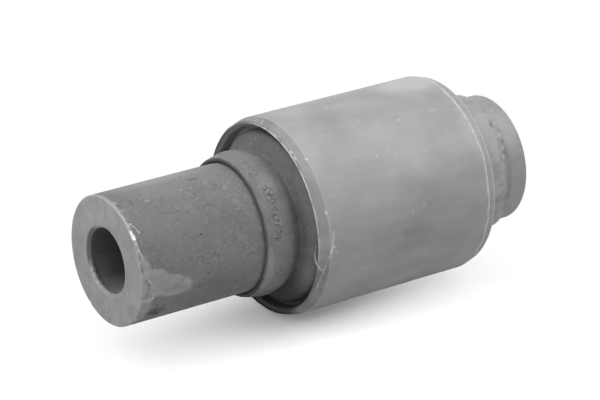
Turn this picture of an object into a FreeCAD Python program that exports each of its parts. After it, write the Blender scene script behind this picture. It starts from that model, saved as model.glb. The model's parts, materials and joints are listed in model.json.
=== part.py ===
import FreeCAD
import Part
import math
import os

os.makedirs("parts", exist_ok=True)

# Rubber metal bush for a suspension arm or a leaf spring's eye.
# A thick inner sleeve takes the bolt, a thin outer sleeve is pressed into the eye,
# and moulded rubber, bonded to both, lets them twist and tilt a little.
# The bush stands on the short end of its inner sleeve, with its axis along +Z.
# All sizes are in millimetres.

# Inner sleeve
inner_diameter = 26.0
bore_diameter = 13.0
bore_chamfer = 0.6
inner_edge_bevel = 0.2
long_end = 27.8
short_end = 4.6

# Outer sleeve
outer_diameter = 40.2
outer_wall = 1.6
outer_length = 42.4
lead_in_length = 2.0
lead_in_depth = 0.56
outer_bore_chamfer = 0.6

# Rubber collar: it starts as a lip round the inner sleeve, rises to a ridge and
# falls to a valley just outside the outer sleeve's rim
lip_reach = 8.6
lip_gap = 0.35
lip_gap_depth = 0.8
lip_height = 0.95
lip_bevel = 0.25
ridge_height = 1.97
ridge_setback = 4.3
ridge_rounding = 9.0
valley_height = 0.45
valley_reach = 0.45
valley_bevel = 0.15

# Rubber face: it slopes from the valley to an edge inside the outer sleeve's rim,
# and a narrow groove parts that edge from the steel
face_sink = 1.0
face_edge_bevel = 0.3
groove_width = 1.4
groove_floor_width = 0.9
groove_depth = 2.6

# Radii and heights that follow from the sizes above
inner_radius = inner_diameter / 2
bore_radius = bore_diameter / 2
outer_radius = outer_diameter / 2
seat_radius = outer_radius - outer_wall
short_lip_z = short_end
outer_bottom_z = short_lip_z + lip_reach
outer_top_z = outer_bottom_z + outer_length
long_lip_z = outer_top_z + lip_reach
inner_length = long_lip_z + long_end

# Which way the middle of the bush lies, seen from each of its ends
UP = 1
DOWN = -1


def corner(radius, z, bevel=0.0, rounding=0.0):
    """A corner of a half section: distance from the axis, height, and how it is eased."""
    return FreeCAD.Vector(radius, 0, z), bevel, rounding


def eased_corner(before, here, after, bevel, rounding):
    """Start and end of a corner's bevel or arc, and the arc's edge if it has one.

    A short side limits how far the bevel or arc reaches along it."""
    to_before = before - here
    to_after = after - here
    longest_reach = 0.48 * min(to_before.Length, to_after.Length)
    half_angle = to_before.getAngle(to_after) / 2
    reach = min(bevel + rounding / math.tan(half_angle), longest_reach)
    to_before.normalize()
    to_after.normalize()
    start = here + to_before * reach
    end = here + to_after * reach
    if rounding == 0:
        return start, end, None
    radius = reach * math.tan(half_angle)
    inwards = to_before + to_after
    inwards.normalize()
    middle = here + inwards * (radius / math.sin(half_angle) - radius)
    return start, end, Part.Arc(start, middle, end).toShape()


def closed_wire(corners):
    """Straight sides joined at sharp, bevelled or rounded corners."""
    edges = []
    ends = []
    for index, (here, bevel, rounding) in enumerate(corners):
        before = corners[index - 1][0]
        after = corners[(index + 1) % len(corners)][0]
        start, end, arc = eased_corner(before, here, after, bevel, rounding)
        ends.append((start, end))
        if arc:
            edges.append(arc)
        elif bevel > 0:
            edges.append(Part.LineSegment(start, end).toShape())
    for index, (start, end) in enumerate(ends):
        edges.append(Part.LineSegment(ends[index - 1][1], start).toShape())
    return Part.Wire(Part.__sortEdges__(edges))


def turned(corners):
    """The solid that a half section makes when it turns once round the bush's axis."""
    section = Part.Face(closed_wire(corners))
    return section.revolve(FreeCAD.Vector(0, 0, 0), FreeCAD.Vector(0, 0, 1), 360)


def inner_sleeve_end(end_z, inwards):
    """Bore mouth and outer edge of the inner sleeve at one end."""
    return [
        corner(bore_radius, end_z + inwards * bore_chamfer),
        corner(bore_radius + bore_chamfer, end_z),
        corner(inner_radius, end_z, bevel=inner_edge_bevel),
    ]


def inner_sleeve():
    """Thick steel tube with a chamfered bore mouth at both ends."""
    bottom = inner_sleeve_end(0, UP)
    top = inner_sleeve_end(inner_length, DOWN)
    return turned(bottom + top[::-1])


def outer_sleeve_end(rim_z, inwards):
    """Broken inner edge, flat rim and tapered lead-in of the outer sleeve at one end."""
    return [
        corner(seat_radius, rim_z + inwards * outer_bore_chamfer),
        corner(seat_radius + outer_bore_chamfer, rim_z),
        corner(outer_radius - lead_in_depth, rim_z),
        corner(outer_radius, rim_z + inwards * lead_in_length),
    ]


def outer_sleeve():
    """Thin steel tube whose tapered ends lead it into its eye from either side."""
    bottom = outer_sleeve_end(outer_bottom_z, UP)
    top = outer_sleeve_end(outer_top_z, DOWN)
    return turned(bottom + top[::-1])


def collar_outline(lip_z, rim_z, inwards):
    """Collar from the inner sleeve to the valley: gap, lip, ridge and valley."""
    ridge_z = lip_z + inwards * ridge_setback
    valley_z = rim_z - inwards * valley_reach
    return [
        corner(inner_radius, lip_z + inwards * lip_gap_depth),
        corner(inner_radius + lip_gap, lip_z),
        corner(inner_radius + lip_height, lip_z, bevel=lip_bevel),
        corner(inner_radius + ridge_height, ridge_z, rounding=ridge_rounding),
        corner(inner_radius + valley_height, valley_z, bevel=valley_bevel),
    ]


def face_outline(rim_z, inwards):
    """Sloping face's edge and the groove beside the outer sleeve."""
    groove_floor_z = rim_z + inwards * groove_depth
    return [
        corner(seat_radius - groove_width, rim_z + inwards * face_sink, bevel=face_edge_bevel),
        corner(seat_radius - groove_floor_width, groove_floor_z),
        corner(seat_radius, groove_floor_z),
    ]


def rubber():
    """One moulded body that fills the space between the sleeves, alike at both ends."""
    bottom = collar_outline(short_lip_z, outer_bottom_z, UP) + face_outline(outer_bottom_z, UP)
    top = collar_outline(long_lip_z, outer_top_z, DOWN) + face_outline(outer_top_z, DOWN)
    return turned(bottom + top[::-1])


pieces = {
    "inner_sleeve": inner_sleeve(),
    "rubber": rubber(),
    "outer_sleeve": outer_sleeve(),
}

for name, shape in pieces.items():
    if not shape.isValid() or len(shape.Solids) != 1:
        raise ValueError(name + " is not one valid solid")
    shape.exportStep("parts/" + name + ".step")
    print(name, round(shape.Volume / 1000, 2), "cm3")
print("overall height", round(inner_length, 2), "mm")
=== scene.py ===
# %% [markdown]
# # A rubber metal bush, dressed for its photograph
# The frame holds three solids: an inner steel sleeve, an outer steel sleeve and the moulded
# rubber between them. This lesson keeps their sizes and gives them what a drawing leaves
# out: broken edges, a ragged film of primer, bloom on the rubber, scratches and a few burrs.
# The bush stands on its short end in the frame, and the photograph shows it lying on its
# side, so the floor, the lamp and the camera are turned round the bush instead.

# %% Load the frame
import json
import math

import bpy
from mathutils import Matrix, Vector

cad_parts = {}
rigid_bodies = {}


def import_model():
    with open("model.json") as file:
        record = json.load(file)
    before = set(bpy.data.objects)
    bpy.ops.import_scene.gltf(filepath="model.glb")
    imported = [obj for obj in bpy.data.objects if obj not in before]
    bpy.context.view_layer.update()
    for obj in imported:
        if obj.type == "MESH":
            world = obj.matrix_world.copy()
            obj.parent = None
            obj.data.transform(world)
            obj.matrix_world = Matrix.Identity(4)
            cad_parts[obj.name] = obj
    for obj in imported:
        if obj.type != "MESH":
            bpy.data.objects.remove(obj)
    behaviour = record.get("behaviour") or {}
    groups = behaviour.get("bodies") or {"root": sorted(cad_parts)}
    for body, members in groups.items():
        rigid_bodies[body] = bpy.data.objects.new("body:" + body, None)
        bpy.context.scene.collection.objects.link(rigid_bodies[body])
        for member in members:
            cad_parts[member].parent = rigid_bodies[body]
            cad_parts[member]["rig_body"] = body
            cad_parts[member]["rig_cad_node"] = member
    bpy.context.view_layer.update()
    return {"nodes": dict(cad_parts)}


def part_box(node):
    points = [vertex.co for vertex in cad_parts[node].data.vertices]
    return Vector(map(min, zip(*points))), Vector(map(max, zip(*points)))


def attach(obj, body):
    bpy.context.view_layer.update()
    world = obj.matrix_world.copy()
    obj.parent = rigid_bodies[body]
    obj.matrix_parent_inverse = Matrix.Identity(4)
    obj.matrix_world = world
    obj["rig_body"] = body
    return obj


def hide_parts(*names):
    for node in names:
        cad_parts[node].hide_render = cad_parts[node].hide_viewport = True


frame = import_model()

MM = 0.001
for name in frame["nodes"]:
    low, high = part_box(name)
    print(name, "is", [round(side / MM, 1) for side in high - low], "mm")

# %% [markdown]
# ## Sizes that the frame gives
# Each size is read off the boxes of the solids, so that this script follows the drawing when
# the drawing changes. Only small things that the boxes can't show are given as numbers: the
# bore, the outer sleeve's tapered lead-in, a burr on its rim, how far out a film of rubber
# reaches there, the rubber's lip, and the valley between its collar and its face.

# %% Sizes from the frame
inner_low, inner_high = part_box("inner_sleeve")
outer_low, outer_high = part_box("outer_sleeve")
rubber_low, rubber_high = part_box("rubber")
INNER_RADIUS = inner_high.x
OUTER_RADIUS = outer_high.x
SEAT_RADIUS = rubber_high.x
LONG_END = inner_high.z
SHORT_END = inner_low.z
LONG_LIP = rubber_high.z
SHORT_LIP = rubber_low.z
LONG_RIM = outer_high.z
SHORT_RIM = outer_low.z
BORE_RADIUS = 6.5 * MM
BORE_MOUTH_RADIUS = 7.1 * MM
LEAD_IN_LENGTH = 2.0 * MM
LEAD_IN_DEPTH = 0.56 * MM
RIM_EDGE_RADIUS = OUTER_RADIUS - LEAD_IN_DEPTH
RIM_BURR_RADIUS = RIM_EDGE_RADIUS - 0.38 * MM
RIM_BURR_HEIGHT = 0.3 * MM
RUBBER_FILM_RADIUS = SEAT_RADIUS + 0.3 * MM
VALLEY_RADIUS = INNER_RADIUS + 0.45 * MM
VALLEY_ABOVE_RIM = 0.9 * MM
LIP_RADIUS = INNER_RADIUS + 1.2 * MM
print("inner radius", round(INNER_RADIUS / MM, 2), "outer radius", round(OUTER_RADIUS / MM, 2))

# %% [markdown]
# ## Which way is up in the photograph
# The bush lies on its outer sleeve. Its axis stays +Z here, so "up" in the photograph is a
# direction square to the axis. Places are then given as steps along the axis, up, and
# sideways towards the camera.

# %% Directions and places round the axis
UP_TURN = math.radians(-45)
UP = Vector((math.cos(UP_TURN), math.sin(UP_TURN), 0))
AXIS = Vector((0, 0, 1))
NEAR = UP.cross(AXIS)


def place(along, up, near):
    """The point at a height along the axis, above it and towards the camera, all in mm."""
    return (AXIS * along + UP * up + NEAR * near) * MM


def azimuth(angle):
    """The turn about +Z of a place that is so many degrees from the top, on the camera's side."""
    return UP_TURN - math.radians(angle)


def on_surface(angle, radius, height):
    """The point on a cylinder at that many degrees from the top and that height."""
    turn = azimuth(angle)
    return Vector((radius * math.cos(turn), radius * math.sin(turn), height))


print("up is", [round(part, 3) for part in UP], "and near is", [round(part, 3) for part in NEAR])

# %% [markdown]
# ## The camera
# A long lens from about 60 cm away, looking down by 23 degrees on the bush's long end. The
# camera is level with the floor that the bush lies on, which in this frame is a rolled camera.
# `to_track_quat` can't roll, so the three axes are worked out and put into a matrix.

# %% Camera
CAMERA_PLACE = place(358.84, 239.96, 454.25)
AIM = place(46.53, 1.37, -0.72)
LENS_MM = 181.68


def looking_at(here, there, up):
    """The matrix of an object whose -Z looks from here to there, with up upright in the view."""
    back = (here - there).normalized()
    right = up.cross(back).normalized()
    turned = Matrix((right, back.cross(right), back)).transposed().to_4x4()
    return Matrix.Translation(here) @ turned


camera_data = bpy.data.cameras.new("photo_camera")
camera_data.lens = LENS_MM
camera_data.clip_start = 0.01
camera = bpy.data.objects.new("photo_camera", camera_data)
camera.matrix_world = looking_at(CAMERA_PLACE, AIM, UP)
bpy.context.scene.collection.objects.link(camera)
bpy.context.scene.camera = camera
print("camera", round((CAMERA_PLACE - AIM).length / MM), "mm from what it looks at")

# %% [markdown]
# ## Helpers for materials
# Screen colours are written as hex values, because that is how a paint or a photograph is
# measured, and Blender wants them linear. Every node of every material is made by one
# function, which also links it: a value that is a socket becomes a link. Patterns read Object
# coordinates, which are the frame's own metres here, so they stay on a piece when it moves.

# %% Colour and node helpers


def linear(hex_colour):
    """The linear RGBA colour of an sRGB hex value such as 8C8C8A."""
    channels = [int(hex_colour[start:start + 2], 16) / 255 for start in (0, 2, 4)]
    return (*[(c + 0.055) ** 2.4 / 1.055 ** 2.4 if c > 0.04 else c / 12.92 for c in channels], 1)


def add_node(tree, kind, inputs=None, **settings):
    """A node of that kind, with its settings, and its inputs set or linked."""
    made = tree.nodes.new("ShaderNode" + kind)
    for name, value in settings.items():
        setattr(made, name, value)
    for key, value in (inputs or {}).items():
        if isinstance(value, bpy.types.NodeSocket):
            tree.links.new(value, made.inputs[key])
        else:
            made.inputs[key].default_value = value
    return made


def new_material(name):
    """An empty node material, its tree, its output node and the place that patterns read."""
    material = bpy.data.materials.new(name)
    material.use_nodes = True
    tree = material.node_tree
    tree.nodes.clear()
    return material, tree, add_node(tree, "OutputMaterial"), add_node(tree, "TexCoord").outputs["Object"]


def per_mm(size):
    """The scale of a pattern whose features are that many mm wide, on Object coordinates."""
    return 1 / (size * MM)


print("mid grey 808080 is", round(linear("808080")[0], 3), "linear")

# %% [markdown]
# ## Floor, backdrop and light
# The photograph is a white sweep under one wide soft light. The floor is white paper that
# touches the outer sleeve: its bounce lights the underside of the bush, and the bush's own
# shadow darkens it where they nearly meet. Two things are done for the camera's rays alone.
# The paper is overexposed, as in the photograph, so that only the shadow shows. And it fades
# out round the shadow's middle, so that it has no edge against the white backdrop. All other
# rays meet whole paper. Seen from behind, the paper is clear.

# %% Floor
FLOOR_SIDE = 600 * MM
PAPER = 0.78
PAPER_OVEREXPOSED = 2.03
SHADOW_REACH = 59 * MM

shadow_middle = place(51, -OUTER_RADIUS / MM, 18)
bpy.ops.object.select_all(action="DESELECT")
bpy.ops.mesh.primitive_plane_add(size=FLOOR_SIDE)
floor = bpy.context.object
floor.name = "floor"
floor.matrix_world = looking_at(shadow_middle, shadow_middle - UP, AXIS)


def white_sweep():
    """White paper, overexposed and fading out for the camera, and clear from behind."""
    material, tree, out, here = new_material("white_paper_sweep")
    geometry = add_node(tree, "NewGeometry").outputs
    front = add_node(tree, "Math", {0: 1.0, 1: geometry["Backfacing"]}, operation="SUBTRACT").outputs[0]
    away = add_node(tree, "VectorMath", {0: here}, operation="LENGTH").outputs["Value"]
    near = add_node(tree, "MapRange", {"Value": away, "From Max": SHADOW_REACH,
                                       "To Min": 1.0, "To Max": 0.0},
                    interpolation_type="SMOOTHSTEP").outputs[0]
    camera_ray = add_node(tree, "LightPath").outputs["Is Camera Ray"]
    bounced = add_node(tree, "Math", {0: 1.0, 1: camera_ray}, operation="SUBTRACT").outputs[0]
    shown = add_node(tree, "Math", {0: near, 1: bounced}, operation="MAXIMUM").outputs[0]
    shown = add_node(tree, "Math", {0: front, 1: shown}, operation="MULTIPLY")
    white = add_node(tree, "MapRange", {"Value": camera_ray,
                                        "To Min": PAPER, "To Max": PAPER_OVEREXPOSED})
    paper = add_node(tree, "BsdfDiffuse", {"Color": white.outputs[0]})
    clear = add_node(tree, "BsdfTransparent")
    mixed = add_node(tree, "MixShader", {0: shown.outputs[0], 1: clear.outputs[0], 2: paper.outputs[0]})
    tree.links.new(mixed.outputs[0], out.inputs["Surface"])
    return material


floor.data.materials.append(white_sweep())
print("floor lies", round(OUTER_RADIUS / MM, 1), "mm below the axis")

# %% [markdown]
# The backdrop is the world itself. The camera sees it white, and so do reflections and glass,
# so that the steel shows a white studio. As a light it is much weaker, or else it would fill
# the shadow and flatten the round pieces.

# %% World
WORLD_LIGHT = 0.265


def white_backdrop():
    """White for the camera, in reflections and through glass, and a plain light for the rest."""
    world = bpy.data.worlds.new("white_backdrop")
    world.use_nodes = True
    tree = world.node_tree
    tree.nodes.clear()
    rays = add_node(tree, "LightPath").outputs
    seen = add_node(tree, "Math", {0: rays["Is Camera Ray"], 1: rays["Is Glossy Ray"]}, operation="ADD")
    seen = add_node(tree, "Math", {0: seen.outputs[0], 1: rays["Is Transmission Ray"]}, operation="ADD")
    strength = add_node(tree, "MapRange", {"Value": seen.outputs[0],
                                           "To Min": WORLD_LIGHT, "To Max": 1.0})
    light = add_node(tree, "Background", {"Color": (1, 1, 1, 1), "Strength": strength.outputs[0]})
    add_node(tree, "OutputWorld", {"Surface": light.outputs[0]})
    return world


scene = bpy.context.scene
scene.world = white_backdrop()
scene.world.cycles.sampling_method = "NONE"
scene.view_settings.view_transform = "Standard"
print("world light is", WORLD_LIGHT)

# %% [markdown]
# One square soft box hangs over the long end, 36 cm above the bush. It is twice as wide as it is
# high above the bush, so the shadow's edge is soft and the round pieces darken slowly towards
# their undersides.

# %% Lamp
LAMP_PLACE = place(90, 360, 40)
LAMP_SIDE = 750 * MM
LAMP_WATTS = 1.55
BUSH_MIDDLE = AXIS * (LONG_END + SHORT_END) / 2

lamp_data = bpy.data.lights.new("overhead_soft_box", "AREA")
lamp_data.shape = "SQUARE"
lamp_data.size = LAMP_SIDE
lamp_data.energy = LAMP_WATTS
lamp = bpy.data.objects.new("overhead_soft_box", lamp_data)
lamp.matrix_world = looking_at(LAMP_PLACE, BUSH_MIDDLE, AXIS)
lamp.visible_camera = False
scene.collection.objects.link(lamp)
print("the lamp is", round((LAMP_PLACE - BUSH_MIDDLE).length / MM), "mm from the bush's middle")

# %% [markdown]
# ## Turned pieces from the drawing's own section
# Every piece of the bush is a body of revolution. By hand one would draw half of its
# section and spin it. The drawing already has that section, so it is cut out of a copy of
# the solid: merge the copy's loose triangles, bisect it with a plane through the axis and
# keep one half. The plane is turned by about a degree, so that it cuts through faces and
# doesn't run along the solid's own edges. Limited dissolve then takes away the points that
# lie in a straight line.

# %% Cut a half section
MERGE_REACH = 0.001 * MM
SECTION_NORMAL = (0.02, 1, 0)


def only(piece):
    """Makes that object the one that is selected and active."""
    bpy.ops.object.select_all(action="DESELECT")
    piece.select_set(True)
    bpy.context.view_layer.objects.active = piece


def half_section(node, name):
    """The outline of a turned solid on one side of its axis, as an object of edges only."""
    only(frame["nodes"][node])
    bpy.ops.object.duplicate()
    piece = bpy.context.object
    piece.name = name
    piece.data.name = name
    piece.parent = None
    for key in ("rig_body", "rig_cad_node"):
        del piece[key]
    piece.data.materials.clear()
    bpy.ops.object.mode_set(mode="EDIT")
    bpy.ops.mesh.select_all(action="SELECT")
    bpy.ops.mesh.remove_doubles(threshold=MERGE_REACH)
    bpy.ops.mesh.customdata_custom_splitnormals_clear()
    bpy.ops.mesh.bisect(plane_co=(0, 0, 0), plane_no=SECTION_NORMAL, clear_inner=True, clear_outer=True)
    bpy.ops.mesh.select_all(action="SELECT")
    bpy.ops.mesh.bisect(plane_co=(0, 0, 0), plane_no=(1, 0, 0), clear_inner=True)
    bpy.ops.mesh.select_all(action="SELECT")
    bpy.ops.mesh.dissolve_limited(angle_limit=math.radians(1))
    bpy.ops.object.mode_set(mode="OBJECT")
    print(name, "has a section of", len(piece.data.vertices), "points")
    return piece


# %% [markdown]
# The section's long straight sides are halved until none is longer than a given length,
# where the surface will be shaped further. Then the section is spun once round the axis,
# the last step is merged with the first, and the normals are made to point outwards.

# %% Divide a section and spin it
SPIN_STEPS = 288


def divide(piece, longest, where):
    """Halves the edges whose two ends pass the test until none is longer than longest."""
    while True:
        points = piece.data.vertices
        for point in points:
            point.select = False
        for edge in piece.data.edges:
            one, other = (points[index].co for index in edge.vertices)
            edge.select = (one - other).length > longest and where(one, other)
        if not any(edge.select for edge in piece.data.edges):
            return
        bpy.ops.object.mode_set(mode="EDIT")
        bpy.ops.mesh.select_mode(type="EDGE")
        bpy.ops.mesh.subdivide(number_cuts=1)
        bpy.ops.object.mode_set(mode="OBJECT")


def spin_round(piece):
    """Spins the section once round the axis into a closed solid."""
    bpy.ops.object.mode_set(mode="EDIT")
    bpy.ops.mesh.select_mode(type="VERT")
    bpy.ops.mesh.select_all(action="SELECT")
    bpy.ops.mesh.spin(steps=SPIN_STEPS, angle=2 * math.pi, center=(0, 0, 0), axis=AXIS)
    bpy.ops.mesh.select_all(action="SELECT")
    bpy.ops.mesh.remove_doubles(threshold=MERGE_REACH)
    bpy.ops.mesh.normals_make_consistent(inside=False)
    bpy.ops.object.mode_set(mode="OBJECT")
    print(piece.name, "spun to", len(piece.data.polygons), "faces")


# %% [markdown]
# No real edge is perfectly sharp. A Bevel modifier with an angle limit finds the corners of
# the section, all round at once, and leaves the tiny turns between the spin's steps alone.

# %% Ease and shade the edges


def ease_edges(piece, width, corner_degrees=25):
    """Rounds every edge that turns by more than that many degrees."""
    only(piece)
    bevel = piece.modifiers.new("eased_edges", "BEVEL")
    bevel.width = width
    bevel.segments = 2
    bevel.limit_method = "ANGLE"
    bevel.angle_limit = math.radians(corner_degrees)
    bpy.ops.object.modifier_apply(modifier=bevel.name)


def smooth_faces(piece, corner_degrees=40):
    """Smooth shading, with a crease where the surface turns sharply."""
    only(piece)
    bpy.ops.object.shade_smooth_by_angle(angle=math.radians(corner_degrees))


# %% [markdown]
# Dents, nibs and burrs are pulled out of the finished surface one by one, as with the grab
# tool: the point nearest to a place is moved, and proportional editing takes its
# neighbours along, less and less towards the edge of its reach.

# %% Pull the surface


def move_points(piece, chosen, shift, **settings):
    """Moves those points of a piece by shift, and nothing else unless the settings say so."""
    only(piece)
    for parts in (piece.data.vertices, piece.data.edges, piece.data.polygons):
        parts.foreach_set("select", [False] * len(parts))
    for point in chosen:
        point.select = True
    bpy.ops.object.mode_set(mode="EDIT")
    bpy.ops.mesh.select_mode(type="VERT")
    bpy.ops.transform.translate(value=shift, **settings)
    bpy.ops.object.mode_set(mode="OBJECT")


def pull(piece, centre, shift, reach):
    """Moves the surface near a point by shift, fading out over the reach."""
    nearest = min(piece.data.vertices, key=lambda point: (point.co - centre).length)
    move_points(piece, [nearest], shift, use_proportional_edit=True,
                proportional_edit_falloff="SMOOTH", proportional_size=reach)


def outwards(angle):
    """The direction away from the axis at that many degrees from the top."""
    return on_surface(angle, 1, 0)


# %% [markdown]
# ## Patterns that several materials share
# A place on a sleeve is given as a maker would mark it: so many degrees from the top and so
# many millimetres from the long end. Wear is never a hard-edged shape, so `shaken` shifts the
# place that a pattern reads by a noise, and whatever is drawn there gets a ragged edge.
# `streaks` is a noise whose features have one size across the axis and another along it.

# %% Places and noises


def on_tube(angle, back):
    """The point on the inner sleeve's outside at that many mm from its long end."""
    return on_surface(angle, INNER_RADIUS, LONG_END - back * MM)


def on_sleeve(angle, back):
    """The point on the outer sleeve's outside at that many mm from its long end's rim."""
    below = max(0, 1 - back * MM / LEAD_IN_LENGTH) * LEAD_IN_DEPTH
    return on_surface(angle, OUTER_RADIUS - below, LONG_RIM - back * MM)


def shaken(tree, here, size, reach):
    """The place, shifted by a noise of that feature size by up to half the reach, in mm."""
    noise = add_node(tree, "TexNoise", {"Vector": here, "Scale": per_mm(size), "Detail": 3.0})
    centred = add_node(tree, "VectorMath", {0: noise.outputs["Color"], 1: (0.5, 0.5, 0.5)},
                       operation="SUBTRACT")
    shifted = add_node(tree, "VectorMath", {0: centred.outputs[0], 1: [reach * MM] * 3, 2: here},
                       operation="MULTIPLY_ADD")
    return shifted.outputs[0]


def streaks(tree, here, across, along, low=0.36, high=0.64, detail=4.0):
    """A noise from 0 to 1 with features that many mm across and along the axis."""
    sizes = (per_mm(across), per_mm(across), per_mm(along))
    stretched = add_node(tree, "Mapping", {"Vector": here, "Scale": sizes})
    noise = add_node(tree, "TexNoise", {"Vector": stretched.outputs[0], "Scale": 1.0, "Detail": detail})
    return add_node(tree, "MapRange", {"Value": noise.outputs["Fac"],
                                       "From Min": low, "From Max": high}).outputs[0]


print("the top of the tube's long end is at", [round(part / MM, 1) for part in on_tube(0, 0)], "mm")

# %% [markdown]
# The shapes are a spot on a turned surface, a straight mark between two points, and a band
# round the axis. Each is worked out from how far away its middle is, is 1 there and fades to 0
# at its edge.

# %% Shapes


def fading(tree, away, reach, full=0.4):
    """1 up to that share of the reach, fading to 0 at the reach."""
    return add_node(tree, "MapRange", {"Value": away, "From Min": full * reach, "From Max": reach,
                                       "To Min": 1.0, "To Max": 0.0}).outputs[0]


def oval(tree, here, centre, angle, wide, long, tilt=0, depth=4, full=0.85):
    """1 inside an oval that faces that angle, with half its width, length and depth in mm.

    It fades to 0 at its edge, from that share of the way out."""
    local = add_node(tree, "Mapping", {"Vector": here, "Location": centre,
                                       "Rotation": (math.radians(tilt), 0, azimuth(angle)),
                                       "Scale": (depth * MM, wide * MM, long * MM)},
                     vector_type="TEXTURE")
    away = add_node(tree, "VectorMath", {0: local.outputs[0]}, operation="LENGTH").outputs["Value"]
    return fading(tree, away, 1.0, full)


def scratch(tree, here, start, end, half_width):
    """1 along a straight mark between two points, fading to 0 at half its width in mm."""
    run = end - start
    from_start = add_node(tree, "VectorMath", {0: here, 1: start}, operation="SUBTRACT").outputs[0]
    share = add_node(tree, "VectorMath", {0: from_start, 1: run / run.length_squared},
                     operation="DOT_PRODUCT").outputs["Value"]
    share = add_node(tree, "Math", {0: share, 1: 1.0}, operation="MULTIPLY", use_clamp=True).outputs[0]
    nearest = add_node(tree, "VectorMath", {0: run, "Scale": share}, operation="SCALE").outputs[0]
    away = add_node(tree, "VectorMath", {0: from_start, 1: nearest}, operation="DISTANCE")
    return fading(tree, away.outputs["Value"], half_width * MM)


def radius_of(tree, here):
    """The distance from the axis."""
    flat = add_node(tree, "VectorMath", {0: here, 1: (1, 1, 0)}, operation="MULTIPLY").outputs[0]
    return add_node(tree, "VectorMath", {0: flat}, operation="LENGTH").outputs["Value"]


def ring(tree, here, radius, height, half_width):
    """1 on a ring of that radius and height round the axis, fading to 0 at half its width in mm."""
    along = add_node(tree, "SeparateXYZ", {0: here}).outputs["Z"]
    section = add_node(tree, "CombineXYZ", {"X": radius_of(tree, here), "Z": along}).outputs[0]
    away = add_node(tree, "VectorMath", {0: section, 1: (radius, 0, height)}, operation="DISTANCE")
    return fading(tree, away.outputs["Value"], half_width * MM)


# %% [markdown]
# `adding_up` sums patterns, each with its share, into one value that picks a colour. The share
# can be a pattern too, and then the first one stays only where the other one is. `marked` and
# `spotted` draw whole lists of scratches and of spots, and `flecks` strews small dots.
# `dressed` ends every material with the same shader, so that a material only has to say its
# colour, its metal, its roughness and its relief.

# %% Sums, colours and the shader


def adding_up(tree, start, patterns, clamp=False):
    """The start value plus each pattern times its share, a number or another pattern."""
    total = start
    for pattern, share in patterns:
        total = add_node(tree, "Math", {0: pattern, 1: share, 2: total}, operation="MULTIPLY_ADD",
                         use_clamp=clamp).outputs[0]
    return total


def marked(tree, here, marks, surface):
    """Scratches on that surface, each with its share.

    A mark is degrees from the top and mm along the surface, at its start and at its end,
    and half its width in mm."""
    patterns = []
    for angle, back, to_angle, to_back, half_width, share in marks:
        start, end = surface(angle, back), surface(to_angle, to_back)
        patterns.append((scratch(tree, here, start, end, half_width), share))
    return adding_up(tree, 0.0, patterns, clamp=True)


def spotted(tree, here, spots, surface, full=0.4, depth=4):
    """Soft ovals on that surface, each with its share.

    A spot is degrees from the top, mm along the surface, half its width and length in mm."""
    patterns = []
    for angle, along, wide, long, share in spots:
        spot = oval(tree, here, surface(angle, along), angle, wide, long, depth=depth, full=full)
        patterns.append((spot, share))
    return adding_up(tree, 0.0, patterns)


def flecks(tree, here, spacing, size, share):
    """Small spots, one in some cells of that spacing, as large as that part of a cell."""
    cells = add_node(tree, "TexVoronoi", {"Vector": here, "Scale": per_mm(spacing)})
    spot = fading(tree, cells.outputs["Distance"], size)
    kept = add_node(tree, "Math", {0: cells.outputs["Color"], 1: 1 - share}, operation="GREATER_THAN")
    return adding_up(tree, 0.0, [(spot, kept.outputs[0])])


def tinted(tree, amount, dark, light):
    """A colour between two sRGB colours, or between two colours that nodes give."""
    ends = [linear(colour) if isinstance(colour, str) else colour for colour in (dark, light)]
    return add_node(tree, "Mix", {0: amount, 6: ends[0], 7: ends[1]}, data_type="RGBA").outputs[2]


def dressed(tree, out, colour, metallic, rough, relief, depth):
    """Ends a material: its shader, with a relief of that depth in mm."""
    bumps = add_node(tree, "Bump", {"Strength": 1.0, "Distance": depth * MM, "Height": relief})
    shader = add_node(tree, "BsdfPrincipled", {"Base Color": colour, "Metallic": metallic,
                                               "Roughness": rough, "Normal": bumps.outputs[0]})
    tree.links.new(shader.outputs[0], out.inputs["Surface"])
    print("a material of", len(tree.nodes), "nodes, with a relief of", depth, "mm")


# %% [markdown]
# ## Outer sleeve's finish
# Drawn steel tube under a phosphate coat: a layer of fine grey crystals, mostly matt, that
# lets a little of the metal's sheen through. It is cloudy where it was wiped with oil, drawing
# has left faint streaks along the axis, and the long end's lead-in is a little darker. What
# makes one used bush differ from the next is written as lists of spots and scratches, each at
# its place on the sleeve.

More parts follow.
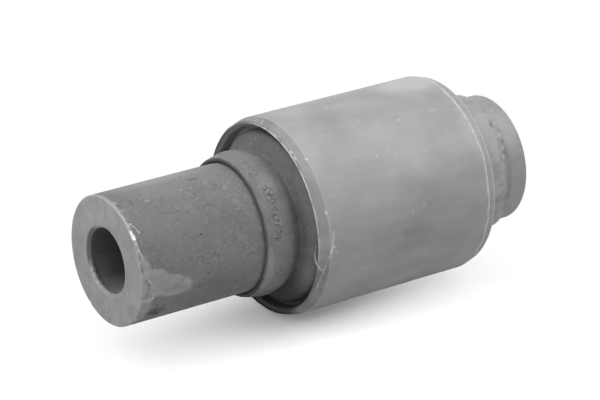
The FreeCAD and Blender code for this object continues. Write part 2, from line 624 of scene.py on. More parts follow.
# %% Marks on the outer sleeve
SLEEVE_SPOTS = [
    # degrees from the top, mm from the long rim, half its width and length in mm, its share
    (8, 4.9, 0.25, 0.7, 0.5),
    (0, 15.2, 0.3, 0.4, 0.5),
    (27, 26.0, 0.4, 0.35, 0.75),
    (45, 16.9, 0.5, 0.35, 0.6),
    (42, 20.3, 0.3, 0.5, 0.35),
    (50, 28.2, 0.3, 0.5, 0.4),
    (26, 34.5, 0.25, 1.4, 0.35),
    (20, 17.6, 0.7, 0.3, 0.4),
    (81, 21.6, 0.4, 0.5, 0.3),
    (79, 24.6, 0.5, 0.6, 0.25),
    (96, 36.2, 0.3, 0.5, 0.4),
]
# Several of these soft patches are painted light. The one at -8 degrees is a painted highlight along the
# top near the long rim. Those at 138 and 145 degrees are painted bounce light on the underside, and
# those at 72 and 92 degrees are painted shade on the near side.
SLEEVE_CLOUDS_AND_PAINTED_LIGHT = [
    # the same, for soft patches without an edge
    (14, 11.5, 6.0, 5.5, -0.28),
    (14, 37.5, 3.2, 3.2, -0.3),
    (-8, 36.5, 6.5, 6.0, 0.7),
    (45, 40.5, 7.0, 3.2, 0.5),
    (55, 25.0, 6.0, 6.0, 0.25),
    (138, 37.0, 8.0, 8.0, 0.35),
    (-2, 31.0, 4.0, 4.0, 0.3),
    (53, 35.0, 6.0, 7.0, 0.3),
    (50, 19.0, 5.0, 5.0, 0.15),
    (-6, 7.0, 5.0, 6.0, 0.3),
    (38, 22.0, 6.0, 9.0, 0.2),
    (72, 30.0, 7.0, 14.0, -0.2),
    (92, 20.0, 8.0, 26.0, -0.3),
    (145, 20.0, 9.0, 30.0, 0.45),
    (30, 3.6, 6.0, 2.6, 0.2),
]
PAINTED_RIM_SHADE = [
    # the same, for painted shade under the long rim
    (186, 0.0, 15.0, 1.4, 1.0),
]
SLEEVE_MARKS = [
    # degrees and mm from the long rim at both ends of a mark, half its width in mm, its share;
    # the first is a wide, faint painted highlight near the top
    (-8, 33.0, -3, 38.0, 6.5, 0.22),
    (-3, 0.0, -6, 1.3, 0.22, 0.4),
    (28, 0.0, 29, 0.1, 0.28, 0.8),
    (32, 0.1, 34, 0.2, 0.24, 0.5),
    (36, 1.9, 36.5, 1.9, 0.35, 0.6),
    (68, 1.8, 69, 1.9, 0.35, 0.6),
    (80, 2.9, 88, 2.4, 0.30, 0.4),
    (88, 2.4, 102, 0.9, 0.28, 0.4),
    (102, 0.9, 116, 0.3, 0.28, 0.35),
]
print(len(SLEEVE_SPOTS), "spots,", len(SLEEVE_CLOUDS_AND_PAINTED_LIGHT), "clouds and", len(SLEEVE_MARKS), "scratches")

# %% [markdown]
# Bright metal shows where handling has worn the coat off: in the scratches, and in a small fuzzy
# patch beside a knock. The bright lines on the burr inside the long rim, on the short end's rim
# and along the corners of the lead-ins are painted highlights, and the burr's line is kept to its
# lit side.

# %% Worn edges and painted edge highlights


def wear_and_edge_highlights(tree, here):
    """Where the coat is worn off, down to bright metal, and painted highlights along the rims' edges."""
    ragged = shaken(tree, here, 1.6, 0.5)
    patchy = streaks(tree, here, 2.2, 2.2, 0.32, 0.52)
    # the burr ring, the lead-in corners and the short rim are painted highlights; the scratches and the
    # fuzzy patch are wear
    burr = ring(tree, ragged, RIM_BURR_RADIUS, LONG_RIM + RIM_BURR_HEIGHT / 2, 0.45)
    # keeps the burr's painted highlight to the side that faces the light
    lit_side = oval(tree, here, on_sleeve(45, 0), 45, 24, 3, depth=18, full=0.6)
    long_lead = ring(tree, ragged, OUTER_RADIUS, LONG_RIM - LEAD_IN_LENGTH, 0.35)
    lit_burr_line = adding_up(tree, 0.0, [(burr, lit_side)])
    long_end = adding_up(tree, 0.0, [(lit_burr_line, 0.62), (long_lead, 0.1)])
    short_rim = ring(tree, ragged, RIM_EDGE_RADIUS, SHORT_RIM, 0.55)
    wavy = shaken(tree, here, 3.0, 1.3)
    short_lead = ring(tree, wavy, OUTER_RADIUS, SHORT_RIM + LEAD_IN_LENGTH, 0.34)
    scratches = marked(tree, shaken(tree, here, 0.7, 0.6), SLEEVE_MARKS, on_sleeve)
    burnished = oval(tree, shaken(tree, here, 0.6, 1.2), on_sleeve(92, 2.6), 92, 2.3, 0.8)
    fuzzy = adding_up(tree, 0.0, [(burnished, streaks(tree, here, 0.5, 0.9, 0.5, 0.6))])
    return adding_up(tree, 0.0, [(long_end, patchy), (short_rim, 0.5), (short_lead, 0.65),
                                 (fuzzy, 0.6), (scratches, 1.0)], clamp=True)


# %% [markdown]
# The coat's crystals are about 0.03 mm in reality, too fine for this render, so they are drawn
# ten times as coarse. The oil's clouds are 5 mm wide and 8 mm long, and the streaks of drawing
# 1 mm wide and 14 mm long. A quarter of the shader is metal, for the sheen.

# %% Phosphated steel
CYLINDER_MARGIN = 0.06 * MM


def phosphated_steel():
    """The phosphated outside of the outer sleeve."""
    material, tree, out, here = new_material("drawn_phosphated_steel")
    clouds = streaks(tree, here, 5, 8, 0.35, 0.65, detail=2.0)
    crystals = add_node(tree, "TexNoise", {"Vector": here, "Scale": per_mm(0.3),
                                           "Detail": 2.0}).outputs["Fac"]
    drawn = streaks(tree, here, 1.2, 14, detail=2.0)
    dashes = streaks(tree, here, 0.6, 1.2, 0.62, 0.74, detail=2.0)
    dark_dashes = streaks(tree, shaken(tree, here, 9, 9), 0.6, 1.1, 0.63, 0.75, detail=2.0)
    dust = flecks(tree, here, 4.2, 0.09, 0.35)
    shade = adding_up(tree, 0.42, [(clouds, 0.24), (drawn, 0.07), (crystals, 0.1), (dashes, 0.14),
                                   (dark_dashes, -0.12), (dust, 0.35)])
    ragged = shaken(tree, here, 1.5, 1.0)
    spots = spotted(tree, ragged, SLEEVE_SPOTS, on_sleeve)
    # the soft patches are clouds, a painted highlight, painted bounce light and painted shade
    clouds_and_painted_light = spotted(tree, ragged, SLEEVE_CLOUDS_AND_PAINTED_LIGHT, on_sleeve, full=0.0)
    shade = adding_up(tree, shade, [(spots, 1.0), (clouds_and_painted_light, 1.0)])
    along = add_node(tree, "SeparateXYZ", {0: here}).outputs["Z"]
    short_half = add_node(tree, "Math", {0: along, 1: (LONG_RIM + SHORT_RIM) / 2},
                          operation="LESS_THAN").outputs[0]
    cylinder = add_node(tree, "MapRange", {"Value": radius_of(tree, here),
                                           "From Min": OUTER_RADIUS - CYLINDER_MARGIN,
                                           "From Max": OUTER_RADIUS - CYLINDER_MARGIN / 2}).outputs[0]
    body = add_node(tree, "Math", {0: cylinder, 1: short_half}, operation="MAXIMUM").outputs[0]
    long_lead_in = tinted(tree, clouds, "8E8E8D", "AAAAA8")
    coat = tinted(tree, body, long_lead_in, tinted(tree, shade, "8F8F8E", "C3C3C1"))
    # painted shade darkens the underside of the long rim
    painted_underside_shade = spotted(tree, ragged, PAINTED_RIM_SHADE, on_sleeve, full=0.7, depth=12)
    coat = tinted(tree, painted_underside_shade, coat, "4C4C4B")
    colour = tinted(tree, wear_and_edge_highlights(tree, here), coat, "ECECEA")
    rough = adding_up(tree, 0.5, [(clouds, 0.12), (dashes, -0.06)])
    relief = adding_up(tree, 0.0, [(crystals, 0.35), (dashes, 0.5), (dark_dashes, -0.6)])
    dressed(tree, out, colour, 0.25, rough, relief, 0.014)
    return material


sleeve_coat = phosphated_steel()

# %% [markdown]
# ## Inner sleeve's finishes
# The tube is cut from thick drawn steel. Its outside carries a thin dark film of bonding
# primer with rubber dust in it, which is matt and pebbly. A knock at the long end's upper edge
# left bright lines and scratches, dirt sits in some of them, and single pits, specks and worn
# spots lie along the film. A painted highlight runs along part of that edge.

# %% Marks on the tube
BRIGHT_MARKS = [
    # degrees and mm from the long end at both ends of a mark, half its width in mm, its share
    # the first two are a painted highlight along the end's edge
    (14, 0.1, 25, 0.05, 0.25, 0.5),
    (25, 0.05, 35, 0.05, 0.28, 1.0),
    (38, 0.3, 37, 1.1, 0.28, 0.4),
    (37, 1.1, 47, 2.0, 0.25, 0.4),
    (43, 0.2, 50, 0.4, 0.50, 1.2),
    (44, 0.35, 49, 0.4, 0.60, 1.0),
    (52, 0.5, 61, 0.6, 0.24, 0.35),
    (61, 0.6, 68, 1.0, 0.28, 0.3),
    (10, 0.8, 12, 0.9, 0.30, 0.3),
    (22, 0.9, 23, 1.1, 0.32, 0.35),
    (107, 0.4, 107.5, 1.7, 0.26, 0.22),
    (107.5, 1.7, 106.5, 2.8, 0.28, 0.35),
    (106.5, 2.8, 101, 3.0, 0.25, 0.2),
    (88, 1.5, 91, 2.1, 0.28, 0.3),
    (127, 0.2, 136, 0.9, 0.30, 0.4),
]
FILM_SPOTS = [
    # degrees from the top, mm from the long end, half its width and length in mm, its share
    (6, 19.0, 0.5, 1.6, -0.35),
    (18, 7.0, 0.5, 0.6, 0.4),
    (16, 15.0, 0.5, 0.5, 0.35),
    (17, 17.0, 0.4, 0.6, 0.4),
    (16, 20.5, 0.5, 0.5, 0.35),
    (61, 14.3, 0.35, 0.35, -1.0),
    (70, 27.3, 0.3, 0.3, 1.0),
    (-10, 10.5, 0.4, 2.0, 0.35),
    (42, 89.5, 6.5, 4.0, 0.35),
    # a painted sheen near the top, towards the back
    (-16, 14.0, 4.0, 14.0, 0.35),
    (2, 14.0, 5.0, 13.0, 0.1),
    (116, 16.0, 5.0, 12.0, -0.14),
]
DARK_MARKS = [
    # the same as the bright marks
    (54, 0.0, 70, 0.2, 0.30, 0.7),
    (70, 0.2, 80, 0.5, 0.26, 0.6),
    (88, 1.1, 91, 1.7, 0.36, 0.5),
    (92, 1.6, 102, 1.3, 0.50, 0.25),
]
print(len(BRIGHT_MARKS), "bright and", len(DARK_MARKS), "dark marks,", len(FILM_SPOTS), "spots")

# %% [markdown]
# At the long end the film has come off in one piece: a narrow strip all round, and a tongue
# that starts at the edge and points along the tube. The tongue is four ovals that overlap, and
# all of them read the same shaken place, so that they share one ragged outline.

# %% Bare patch


def bare_patch(tree, here):
    """Where the film is gone: a strip at the long end's edge and the tongue below it."""
    ragged = shaken(tree, here, 1.0, 0.7)
    along = add_node(tree, "SeparateXYZ", {0: ragged}).outputs["Z"]
    gone = add_node(tree, "MapRange", {"Value": along, "From Min": LONG_END - 0.75 * MM,
                                       "From Max": LONG_END - 0.6 * MM}).outputs[0]
    patches = [
        oval(tree, ragged, on_tube(97, 5.6), 97, 2.6, 6.6, tilt=-15),
        oval(tree, ragged, on_tube(91, 3.2), 91, 2.9, 3.2),
        oval(tree, ragged, on_tube(94, 0), 94, 6.9, 3.3, depth=9),
        oval(tree, ragged, on_tube(116, 0), 116, 5.4, 3.0, depth=9),
    ]
    for patch in patches:
        gone = add_node(tree, "Math", {0: gone, 1: patch}, operation="MAXIMUM").outputs[0]
    return gone


# %% [markdown]
# The film's pebbles and specks are about 1 mm wide. They are strong in some patches and weak
# in others, as primer sprayed by hand is, and weaker along the top. Under the tube a little
# soot lies in short streaks. On the short end the grey is lighter.

# %% Primer film on the tube


def primer_film():
    """Dark pebbly primer film on steel, torn off at the long end."""
    material, tree, out, here = new_material("primer_film_on_drawn_steel")
    clouds = streaks(tree, here, 6, 7, 0.3, 0.7, detail=2.0)
    pebbles = streaks(tree, here, 0.9, 1.1, 0.4, 0.62, detail=2.0)
    smoother = oval(tree, here, on_tube(-8, 12), -8, 8, 30, full=0.4)
    where_pebbly = adding_up(tree, 0.4, [(streaks(tree, here, 4, 8, 0.4, 0.6), 0.6), (smoother, -0.35)])
    light_specks = streaks(tree, shaken(tree, here, 5, 5), 0.7, 0.9, 0.62, 0.7, detail=1.0)
    dark_specks = streaks(tree, shaken(tree, here, 9, 9), 0.7, 1.0, 0.62, 0.7, detail=1.0)
    dust = flecks(tree, here, 1.9, 0.22, 0.25)
    pits = flecks(tree, shaken(tree, here, 3, 2), 4.0, 0.12, 0.3)
    grain = adding_up(tree, -0.4, [(pebbles, 0.6), (light_specks, 1.2), (dark_specks, -0.8),
                                   (dust, 0.8)])
    grain = adding_up(tree, 0.0, [(grain, where_pebbly)])
    sooty = oval(tree, shaken(tree, here, 1.5, 1.5), on_tube(127, 4.4), 127, 2.0, 2.8, full=0.3)
    soot = adding_up(tree, 0.0, [(sooty, streaks(tree, here, 0.35, 1.6, 0.42, 0.52, detail=2.0))])
    spots = spotted(tree, shaken(tree, here, 0.8, 0.8), FILM_SPOTS, on_tube)
    shade = adding_up(tree, 0.44, [(grain, 0.26), (clouds, 0.14), (pits, -0.5), (spots, 1.0)])
    film = tinted(tree, shade, "565655", "ACACAA")
    along = add_node(tree, "SeparateXYZ", {0: here}).outputs["Z"]
    # the film is a lighter grey on the short end
    short_side = add_node(tree, "Math", {0: along, 1: SHORT_LIP + 2 * MM},
                          operation="LESS_THAN").outputs[0]
    film = tinted(tree, short_side, film, tinted(tree, shade, "8E8E8D", "CDCDCB"))
    steel = tinted(tree, streaks(tree, here, 1.6, 2.2, 0.3, 0.7, detail=2.0), "9A9A98", "B2B2B0")
    gone = bare_patch(tree, here)
    ragged = shaken(tree, here, 0.6, 0.9)
    bright = marked(tree, ragged, BRIGHT_MARKS, on_tube)
    dark = marked(tree, ragged, DARK_MARKS, on_tube)
    colour = tinted(tree, gone, film, steel)
    colour = tinted(tree, dark, colour, "3A3A39")
    colour = tinted(tree, soot, colour, "303030")
    colour = tinted(tree, bright, colour, "FAFAF8")
    rough = adding_up(tree, 0.6, [(gone, -0.1), (pebbles, 0.08)])
    metal = adding_up(tree, 0.0, [(gone, 0.15), (bright, 0.2)])
    covered = add_node(tree, "Math", {0: 1.0, 1: gone}, operation="SUBTRACT").outputs[0]
    relief = adding_up(tree, 0.9, [(grain, 0.6), (pits, -0.6)])
    relief = adding_up(tree, 0.0, [(relief, covered), (bright, 0.5), (dark, -0.8)])
    dressed(tree, out, colour, metal, rough, relief, 0.045)
    return material


tube_film = primer_film()

# %% [markdown]
# The end is faced in a lathe, which leaves fine rings about the axis and a satin grey that
# scatters light. The feed is about 0.1 mm a turn, and the rings are drawn more than three times
# as coarse, so that they show. There are smudges and a chip. Painted highlights run round the
# outer corner and the bore's mouth and along a burr on the mouth, the top of the face is painted
# a little lighter, and painted shade darkens one side of the bore's chamfer.

# %% Faced end of the tube
BORE_BURR_LINE = [
    # degrees and mm from the long end at both ends of a mark, half its width in mm, its share
    (-108, 0.1, -126, 0.15, 0.16, 0.5),
    (-126, 0.15, -138, 0.1, 0.14, 0.5),
    (-142, 0.1, -156, 0.15, 0.16, 0.6),
]


def on_mouth(angle, back):
    """The point on the bore's chamfer at that many mm from the long end."""
    return on_surface(angle, BORE_MOUTH_RADIUS - back * MM, LONG_END - back * MM)


def faced_steel():
    """Lathe-faced end: fine rings about the axis, satin grey, with smudges and a chip."""
    material, tree, out, here = new_material("faced_steel_end")
    clouds = streaks(tree, here, 4, 4, 0.3, 0.7)
    smudges = streaks(tree, here, 1.4, 1.4, 0.5, 0.7)
    radius = radius_of(tree, here)
    rings = add_node(tree, "TexNoise", {"W": radius, "Scale": per_mm(0.35), "Detail": 2.0},
                     noise_dimensions="1D").outputs["Fac"]
    ragged = shaken(tree, here, 0.6, 0.7)
    chip = oval(tree, ragged, on_surface(175, INNER_RADIUS - 1.2 * MM, LONG_END), 175, 0.35, 0.9,
                depth=0.5)
    spots = flecks(tree, here, 2.4, 0.13, 0.25)
    rough_edge = shaken(tree, here, 0.9, 0.25)
    # painted highlights round the outer corner and the bore's mouth
    outer_corner = ring(tree, rough_edge, INNER_RADIUS, LONG_END, 0.5)
    mouth = ring(tree, rough_edge, BORE_MOUTH_RADIUS, LONG_END, 0.4)
    # a painted highlight along the burr on the bore's mouth
    burr = marked(tree, rough_edge, BORE_BURR_LINE, on_mouth)
    chamfer = ring(tree, here, BORE_MOUTH_RADIUS - 0.3 * MM, LONG_END - 0.3 * MM, 0.7)
    # painted shade on one side of the bore's chamfer
    shaded_chamfer_side = oval(tree, here, on_mouth(-76, 0.3), -76, 6.5, 2.0, full=0.6)
    painted_chamfer_shade = adding_up(tree, 0.0, [(chamfer, shaded_chamfer_side)])
    # painted light on the top of the face
    painted_top_light = oval(tree, here, on_surface(-20, 10 * MM, LONG_END), -20, 13, 2, depth=9, full=0.2)
    shade = adding_up(tree, 0.24, [(clouds, 0.4), (rings, 0.12), (spots, 0.25), (smudges, -0.22),
                                   (painted_top_light, 0.22), (outer_corner, 0.12), (mouth, 0.08), (chip, -0.9),
                                   (burr, 1.4)])
    colour = tinted(tree, painted_chamfer_shade, tinted(tree, shade, "9D9D9B", "D0D0CE"), "777776")
    rough = adding_up(tree, 0.45, [(clouds, 0.12)])
    relief = adding_up(tree, 0.0, [(rings, 0.5), (clouds, 0.5), (smudges, -0.5), (chip, -3.0)])
    dressed(tree, out, colour, 0.15, rough, relief, 0.02)
    return material


cut_steel = faced_steel()

# %% [markdown]
# The bore is left as drawn: dark under a dull film of oil, with marks that run along the axis.
# Its lower side near the mouth is painted lighter, as light that reaches it there.

# %% Bore of the tube


def drawn_bore():
    """Drawn steel with marks along the axis, an oil film and painted light on its lower side."""
    material, tree, out, here = new_material("drawn_steel_bore")
    marks = streaks(tree, here, 0.5, 9)
    clouds = streaks(tree, here, 3, 4)
    # painted light on the bore's lower side near the mouth
    painted_low_light = oval(tree, here, on_surface(172, BORE_RADIUS, LONG_END - 4 * MM), 172, 5.5, 8, full=0.0)
    shade = adding_up(tree, 0.18, [(marks, 0.05), (clouds, 0.12), (painted_low_light, 0.8)])
    colour = tinted(tree, shade, "454544", "A6A6A4")
    dressed(tree, out, colour, 0.1, 0.55, marks, 0.02)
    return material


bore_steel = drawn_bore()

# %% [markdown]
# ## Rubber's finish
# Natural rubber with carbon black, moulded, and grey rather than black: wax and mould dust
# bloom on its skin. The skin is matt, with small pits and with places where the mould was
# rough and left it pebbly. Again the places come first.

# %% Marks on the rubber
PEBBLY_SKIN = [
    # degrees from the top, mm from the long lip, half its width and length in mm, its share
    (24, 1.9, 3.2, 1.1, 0.6),
    (46, 3.0, 3.6, 1.3, 1.0),
    (70, 2.7, 4.6, 1.1, 1.0),
]
LIP_SPOTS = [
    # the same, for single spots
    (14, 1.6, 0.6, 0.5, 0.3),
    (46, 3.0, 0.5, 0.4, -0.6),
    (41, 2.2, 0.4, 0.3, -0.4),
    (37, 1.8, 0.4, 0.3, 0.5),
    (78, 1.7, 0.25, 0.25, 0.9),
    (80, 2.1, 0.25, 0.3, -0.7),
    # these two are painted glints at the top of the lip
    (-21, 0.9, 0.8, 0.35, 1.0),
    (-27, 0.5, 0.8, 0.4, 0.8),
    # painted light on the collar
    (38, 3.2, 3.4, 2.6, 0.2),
]
FACE_SPOTS = [
    # degrees from the top, mm from the axis, half its width in mm, half its depth along the
    # axis in mm, its share
    (-14, 15.9, 0.40, 1.5, 0.8),
    (-20, 15.0, 0.30, 1.5, 0.5),
    (14, 16.4, 0.45, 1.5, 0.6),
    (-41, 15.3, 0.50, 1.5, -0.6),
    (-23, 18.6, 0.40, 0.8, 1.0),
    (-19, 18.7, 0.35, 0.8, 0.9),
    (93, 18.8, 0.75, 0.8, -1.5),
]
SHORT_LIP_SPOTS = [
    # degrees from the top, mm from the short lip, half its width and length in mm, its share
    (38, 0.3, 0.7, 0.45, 1.3),
    (49, 0.8, 0.8, 0.5, 1.3),
    (59, 1.3, 0.6, 0.4, 0.9),
    (66, 1.9, 0.8, 0.4, 0.9),
    (38, 1.5, 0.7, 0.4, -1.4),
    (44, 0.2, 0.7, 0.4, -1.1),
    (54, 0.3, 0.7, 0.35, -1.1),
    (62, 0.8, 0.6, 0.35, -0.9),
    (31, 2.4, 1.6, 1.2, 0.6),
    (40, 4.6, 6.0, 3.4, 0.4),
    (52, 5.0, 5.0, 4.0, 0.3),
    # these two are painted shade under the step at the short lip
    (80, 0.6, 6.0, 1.8, -0.7),
    (100, 1.0, 5.0, 2.0, -0.3),
    (84, 4.2, 4.0, 1.6, 0.25),
]


def on_lip(angle, back):
    """The point on the rubber's collar at that many mm from the long lip."""
    return on_surface(angle, LIP_RADIUS, LONG_LIP - back * MM)


def on_face(angle, radius):
    """The point at that many mm from the axis, level with the long rim."""
    return on_surface(angle, radius * MM, LONG_RIM)


def on_short_lip(angle, back):
    """The point on the rubber's collar at that many mm from the short lip."""
    return on_surface(angle, LIP_RADIUS, SHORT_LIP + back * MM)


print(len(LIP_SPOTS), "spots on the long lip and", len(SHORT_LIP_SPOTS), "on the short one")

# %% [markdown]
# The rubber is lighter at the short end, and mottled there. Painted shade darkens the valleys,
# the lip's edge where it meets the tube, the underside and the sloping face on the near side,
# and painted light brightens the film in the rim's groove at the upper back. A band low on the
# near side of the long end's lip carries painted light and is a little smoother.

# %% Bloomed rubber


def bloomed_rubber():
    """Moulded black rubber under a grey bloom."""
    material, tree, out, here = new_material("bloomed_moulded_rubber")
    clouds = streaks(tree, here, 3.5, 4, 0.3, 0.7)
    skin = streaks(tree, here, 0.7, 0.8, detail=2.0)
    pits = flecks(tree, shaken(tree, here, 2, 1), 2.6, 0.12, 0.25)
    dust = flecks(tree, shaken(tree, here, 3, 1), 2.1, 0.12, 0.3)
    along = add_node(tree, "SeparateXYZ", {0: here}).outputs["Z"]
    # the rubber is a lighter grey beyond the short rim
    short_side = add_node(tree, "MapRange", {"Value": along, "From Min": SHORT_RIM - 1 * MM,
                                             "From Max": SHORT_RIM + 1 * MM,
                                             "To Min": 1.0, "To Max": 0.0}).outputs[0]
    mottled = streaks(tree, here, 2.4, 2.4, 0.35, 0.65, detail=2.0)
    ragged = shaken(tree, here, 1.2, 0.5)
    # painted light on a band low on the near side of the long lip, which is also a little smoother
    lit_smoother_lip = oval(tree, ragged, on_lip(108, 0.6), 108, 6.2, 1.3, full=0.8)
    # painted shade on the underside of the face and rim
    painted_underside_shade = oval(tree, ragged, on_surface(168, SEAT_RADIUS, LONG_RIM), 168, 18, 11, depth=12, full=0.3)
    # painted shade on the near side of the sloping face
    painted_face_shade = oval(tree, ragged, on_surface(85, SEAT_RADIUS - 2 * MM, LONG_RIM), 85, 14, 2.5, full=0.3)
    # painted light on the film in the rim's groove at the upper back
    painted_groove_light = oval(tree, ragged, on_surface(-38, SEAT_RADIUS + 0.4 * MM, LONG_RIM - 1 * MM), -38,
                        16, 3, depth=2.4, full=0.5)
    lip_spots = spotted(tree, ragged, LIP_SPOTS, on_lip)
    # painted shade where the long lip meets the tube
    lip_gap_shade = ring(tree, ragged, INNER_RADIUS + 0.6 * MM, LONG_LIP, 0.6)
    face_spots = spotted(tree, shaken(tree, here, 0.6, 0.4), FACE_SPOTS, on_face, depth=0.4)
    where_pebbly = add_node(tree, "Math", {0: 0.12, 1: spotted(tree, ragged, PEBBLY_SKIN, on_lip)},
                            operation="ADD", use_clamp=True).outputs[0]
    pebbly = adding_up(tree, -0.5, [(streaks(tree, here, 0.6, 0.65, 0.42, 0.6, detail=1.0), 1.0)])
    pebbly = adding_up(tree, 0.0, [(where_pebbly, pebbly)])
    # painted shade in the valleys, the long one mostly on its near side
    long_valley = ring(tree, ragged, VALLEY_RADIUS, LONG_RIM + VALLEY_ABOVE_RIM, 2.4)
    near_side_only = oval(tree, here, on_face(98, 14), 98, 19, 14, depth=16, full=0.4)
    shaded_long_valley = adding_up(tree, 0.0, [(long_valley, near_side_only)])
    short_valley = ring(tree, ragged, VALLEY_RADIUS, SHORT_RIM - VALLEY_ABOVE_RIM / 2, 2.0)
    valley_shade = adding_up(tree, 0.0, [(shaded_long_valley, 0.95), (short_valley, 0.6)])
    shade = adding_up(tree, 0.34, [(clouds, 0.26), (skin, 0.12), (pebbly, 0.6), (pits, -0.5),
                                   (dust, 0.5), (lit_smoother_lip, 0.28), (valley_shade, -0.34), (painted_underside_shade, -0.75),
                                   (painted_face_shade, -0.1), (painted_groove_light, 1.0), (lip_spots, 1.0),
                                   (face_spots, 1.0), (lip_gap_shade, -0.7)])
    rubber_grey = tinted(tree, shade, "5E5E5D", "A4A4A3")
    spots = spotted(tree, shaken(tree, here, 0.8, 0.8), SHORT_LIP_SPOTS, on_short_lip)
    short_shade = adding_up(tree, 0.38, [(mottled, 0.5), (dust, 0.4), (pits, -0.6), (valley_shade, -0.3),
                                         (spots, 1.0)])
    short_end_grey = tinted(tree, short_shade, "9A9A99", "CACAC8")
    colour = tinted(tree, short_side, rubber_grey, short_end_grey)
    rough = adding_up(tree, 0.55, [(clouds, 0.14), (lit_smoother_lip, -0.12)])
    relief = adding_up(tree, 0.0, [(skin, 0.25), (clouds, 0.4), (pebbly, 1.4), (pits, -0.9),
                                   (mottled, 0.2)])
    dressed(tree, out, colour, 0.0, rough, relief, 0.07)
    return material


rubber_skin = bloomed_rubber()

# %% [markdown]
# ## Inner sleeve
# The section is divided near the long end, where the edge was knocked: a polished nick at
# the upper edge, small dents beside it, and a burr at the bore's mouth. The faces then get
# their finishes by where they lie: the flat ends, the bore, and the outside.

# %% Inner sleeve's shape
KNOCKED_LENGTH = 4 * MM
FINE_STEP = 0.4 * MM
CUT_EDGE = 0.07 * MM
inner = half_section("inner_sleeve", "inner_sleeve_dressed")
divide(inner, FINE_STEP, lambda one, other: max(one.z, other.z) > LONG_END - KNOCKED_LENGTH)
spin_round(inner)
ease_edges(inner, CUT_EDGE)

EDGE_DENTS = [
    # degrees from the top, mm from the end, mm inwards, mm along, mm of reach
    (44, 0.2, 0.22, 0.08, 0.9),
    (49, 0.3, 0.26, 0.10, 0.9),
    (24, 0.1, 0.08, 0.03, 0.7),
    (61, 0.1, 0.10, 0.08, 0.8),
    (70, 0.1, 0.12, 0.08, 0.9),
    (118, 0.1, 0.12, 0.05, 0.9),
    (-150, 0.1, 0.12, 0.05, 0.9),
]
for angle, back, inwards, along, reach in EDGE_DENTS:
    pull(inner, on_tube(angle, back), -outwards(angle) * inwards * MM - AXIS * along * MM, reach * MM)

EDGE_BURRS = [
    # degrees from the top, mm from the end, mm outwards, mm of reach
    (37, 1.1, 0.16, 0.5),
    (41, 1.5, 0.14, 0.5),
    (46, 1.9, 0.12, 0.5),
    (11, 0.8, 0.12, 0.6),
    (23, 0.9, 0.12, 0.6),
    (89.5, 1.8, 0.14, 0.5),
    (107, 2.2, 0.10, 0.6),
]
for angle, back, out, reach in EDGE_BURRS:
    pull(inner, on_tube(angle, back), outwards(angle) * out * MM, reach * MM)

BORE_BURR = [
    # degrees from the top, mm from the end, mm inwards, mm of reach
    (-100, 0.6, 0.12, 0.6),
    (-116, 0.5, 0.30, 0.7),
    (-128, 0.5, 0.34, 0.8),
    (-140, 0.4, 0.42, 0.8),
    (-152, 0.4, 0.46, 0.8),
    (-166, 0.5, 0.22, 0.7),
]
for angle, back, inwards, reach in BORE_BURR:
    spot = on_surface(angle, BORE_RADIUS, LONG_END - back * MM)
    pull(inner, spot, -outwards(angle) * inwards * MM, reach * MM)
smooth_faces(inner)

# %% Inner sleeve's finishes
OUTSIDE, FACED, BORE = range(3)
for finish in (tube_film, cut_steel, bore_steel):
    inner.data.materials.append(finish)
CHAMFER_MARGIN = 0.05 * MM
FLAT_ENOUGH = 0.5
for face in inner.data.polygons:
    if face.center.xy.length < BORE_RADIUS + CHAMFER_MARGIN:
        face.material_index = BORE
    elif abs(face.normal.z) > FLAT_ENOUGH:
        face.material_index = FACED
    else:
        face.material_index = OUTSIDE
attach(inner, "root")
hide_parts("inner_sleeve")
print("inner sleeve has", len(inner.data.polygons), "faces")

# %% [markdown]
# ## Rubber
# The mould leaves soft, slightly uneven rubber. The part of the skin that shows is divided
# finely, and a Displace modifier with a cloud texture moves it by a few hundredths of a
# millimetre, held to the free skin by a vertex group. Nibs along the lips and small lumps on
# the sloping face are pulled out one by one.

# %% Rubber's shape
FREE_MARGIN = 0.06 * MM
SKIN_STEP = 0.4 * MM
MOULDED_EDGE = 0.12 * MM
UNEVENNESS = 0.16 * MM
UNEVEN_WIDTH = 2.2 * MM


def is_free(point):
    """Whether a point of the rubber shows, and isn't bonded to a sleeve."""
    return INNER_RADIUS + FREE_MARGIN < point.xy.length < SEAT_RADIUS - FREE_MARGIN


rubber = half_section("rubber", "rubber_dressed")
divide(rubber, SKIN_STEP, lambda one, other: is_free((one + other) / 2))
spin_round(rubber)
ease_edges(rubber, MOULDED_EDGE)

free_skin = rubber.vertex_groups.new(name="free_skin")
free_skin.add([point.index for point in rubber.data.vertices if is_free(point.co)], 1.0, "REPLACE")
clouds = bpy.data.textures.new("mould_unevenness", "CLOUDS")
clouds.noise_scale = UNEVEN_WIDTH
clouds.noise_depth = 3
only(rubber)
uneven = rubber.modifiers.new("mould_unevenness", "DISPLACE")
uneven.texture = clouds
uneven.texture_coords = "LOCAL"
uneven.vertex_group = free_skin.name
uneven.mid_level = 0.5
uneven.strength = UNEVENNESS
bpy.ops.object.modifier_apply(modifier=uneven.name)

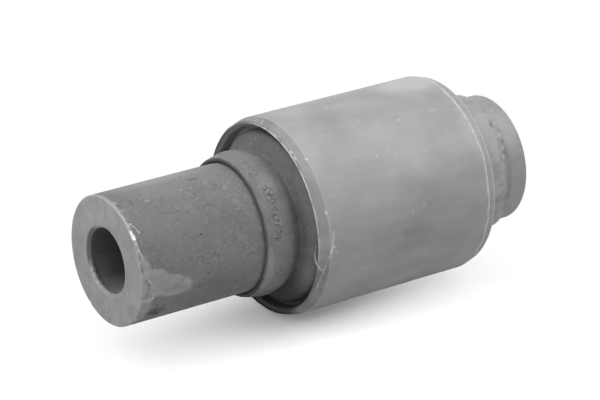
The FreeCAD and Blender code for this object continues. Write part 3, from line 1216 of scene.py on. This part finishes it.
NIBS = [
    # degrees from the top, mm from the axis, mm of height, mm out, mm of reach
    (-2, 17.0, 56.6, 0.30, 0.6),
    (17, 16.9, 55.4, 0.22, 0.5),
    (78, 14.7, 62.4, 0.22, 0.5),
    (46, 14.7, 61.2, -0.20, 0.5),
    (38, 14.6, 62.1, -0.16, 0.5),
    (-12, 14.0, 64.0, 0.25, 0.9),
    (38, 14.2, 4.9, 0.45, 0.7),
    (49, 14.3, 5.4, 0.50, 0.8),
    (59, 14.4, 5.9, 0.35, 0.6),
    (66, 14.5, 6.5, 0.40, 0.7),
    (38, 14.5, 6.2, -0.35, 0.6),
    (54, 14.2, 4.9, -0.35, 0.6),
    (44, 14.2, 4.8, -0.30, 0.6),
    (28, 14.6, 11.0, 0.25, 0.9),
    (50, 14.4, 11.6, 0.22, 1.0),
    (58, 14.6, 9.8, -0.25, 0.7),
]
for angle, radius, height, out, reach in NIBS:
    pull(rubber, on_surface(angle, radius * MM, height * MM), outwards(angle) * out * MM, reach * MM)
smooth_faces(rubber)
rubber.vertex_groups.clear()
rubber.data.materials.append(rubber_skin)
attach(rubber, "root")
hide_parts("rubber")
print("rubber has", len(rubber.data.polygons), "faces")

# %% [markdown]
# ## Outer sleeve
# Thin tube with tapered lead-ins. The edges are eased a little more than the inner
# sleeve's, because it was tumbled, and a second, wider bevel finds the lead-ins' shallow
# corners. Turning left a low burr on the inner side of the long rim's flat: the circle of
# points that runs there is raised, and it catches the light as a thin bright line. Then the
# rim gets four small knocks.

# %% Outer sleeve's shape
RIM_WORK = 3 * MM
TUMBLED_EDGE = 0.12 * MM
LEAD_IN_EDGE = 0.4 * MM
LEAD_IN_CORNER = 12
BURR_HALF_WIDTH = 0.07 * MM
RIM_MARGIN = 0.1 * MM
KNOCK_RADIUS = OUTER_RADIUS - 0.6 * MM
outer = half_section("outer_sleeve", "outer_sleeve_dressed")
divide(outer, FINE_STEP, lambda one, other: max(one.z, other.z) > LONG_RIM - RIM_WORK)
spin_round(outer)
ease_edges(outer, TUMBLED_EDGE)
ease_edges(outer, LEAD_IN_EDGE, corner_degrees=LEAD_IN_CORNER)

rim_points = [point for point in outer.data.vertices if point.co.z > LONG_RIM - RIM_MARGIN]
burr_points = [point for point in rim_points
               if abs(point.co.xy.length - RIM_BURR_RADIUS) < BURR_HALF_WIDTH]
print("the burr has", len(burr_points), "points")
move_points(outer, burr_points, AXIS * RIM_BURR_HEIGHT)

RIM_KNOCKS = [
    # degrees from the top, mm inwards, mm of reach
    (92, 0.25, 1.2),
    (99, 0.30, 1.0),
    (12, 0.12, 1.2),
    (-35, 0.12, 1.5),
]
for angle, inwards, reach in RIM_KNOCKS:
    spot = on_surface(angle, KNOCK_RADIUS, LONG_RIM)
    pull(outer, spot, -outwards(angle) * inwards * MM - AXIS * inwards * MM / 2, reach * MM)
smooth_faces(outer)

# %% [markdown]
# When the bush was moulded, a film of rubber ran up the inside of the sleeve. So the faces
# inside a certain radius take the rubber's finish, and all others the phosphate coat.

# %% Outer sleeve's finishes
outer.data.materials.append(sleeve_coat)
outer.data.materials.append(rubber_skin)
for face in outer.data.polygons:
    face.material_index = int(face.center.xy.length < RUBBER_FILM_RADIUS)
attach(outer, "root")
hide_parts("outer_sleeve")
print("outer sleeve has", len(outer.data.polygons), "faces")

# %% [markdown]
# ## Sliver on the rim
# When the bush was pressed through a ring, a thread of steel was shaved off the rim's edge
# and bent inwards over the groove. It starts as a small disc, and the disc is extruded from
# point to point and made smaller on the way, so that it ends in a thin tip.

# %% Sliver
SLIVER_WIDTH = 0.44 * MM
SLIVER_PATH = [
    # degrees from the top, mm from the axis, mm from the long rim, share of the width
    (105, 20.0, 1.05, 0.6),
    (102, 19.75, 0.3, 1.0),
    (100.5, 19.3, -0.1, 1.0),
    (98.8, 18.5, -0.15, 1.0),
    (96.5, 17.9, -0.1, 0.9),
    (94, 17.6, 0.0, 0.8),
    (90.5, 17.7, 0.05, 0.6),
    (87, 18.0, 0.1, 0.3),
]
points = [on_surface(angle, radius * MM, LONG_RIM - back * MM) for angle, radius, back, _ in SLIVER_PATH]
widths = [width for *_, width in SLIVER_PATH]
start_way = (points[1] - points[0]).to_track_quat("Z", "Y").to_euler()
bpy.ops.object.select_all(action="DESELECT")
bpy.ops.mesh.primitive_circle_add(vertices=10, radius=SLIVER_WIDTH / 2 * widths[0], fill_type="NGON",
                                  location=points[0], rotation=start_way)
sliver = bpy.context.object
sliver.name = sliver.data.name = "rim_sliver"
bpy.ops.object.mode_set(mode="EDIT")
bpy.ops.mesh.select_all(action="SELECT")
for before, after, old_width, new_width in zip(points, points[1:], widths, widths[1:]):
    bpy.ops.mesh.extrude_region_move(TRANSFORM_OT_translate={"value": after - before})
    bpy.ops.transform.resize(value=[new_width / old_width] * 3)
bpy.ops.mesh.select_all(action="SELECT")
bpy.ops.mesh.normals_make_consistent(inside=False)
bpy.ops.object.mode_set(mode="OBJECT")
bpy.ops.object.transform_apply(location=True, rotation=True, scale=True)
smooth_faces(sliver)
sliver.data.materials.append(cut_steel)
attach(sliver, "root")
print("sliver has", len(sliver.data.polygons), "faces")
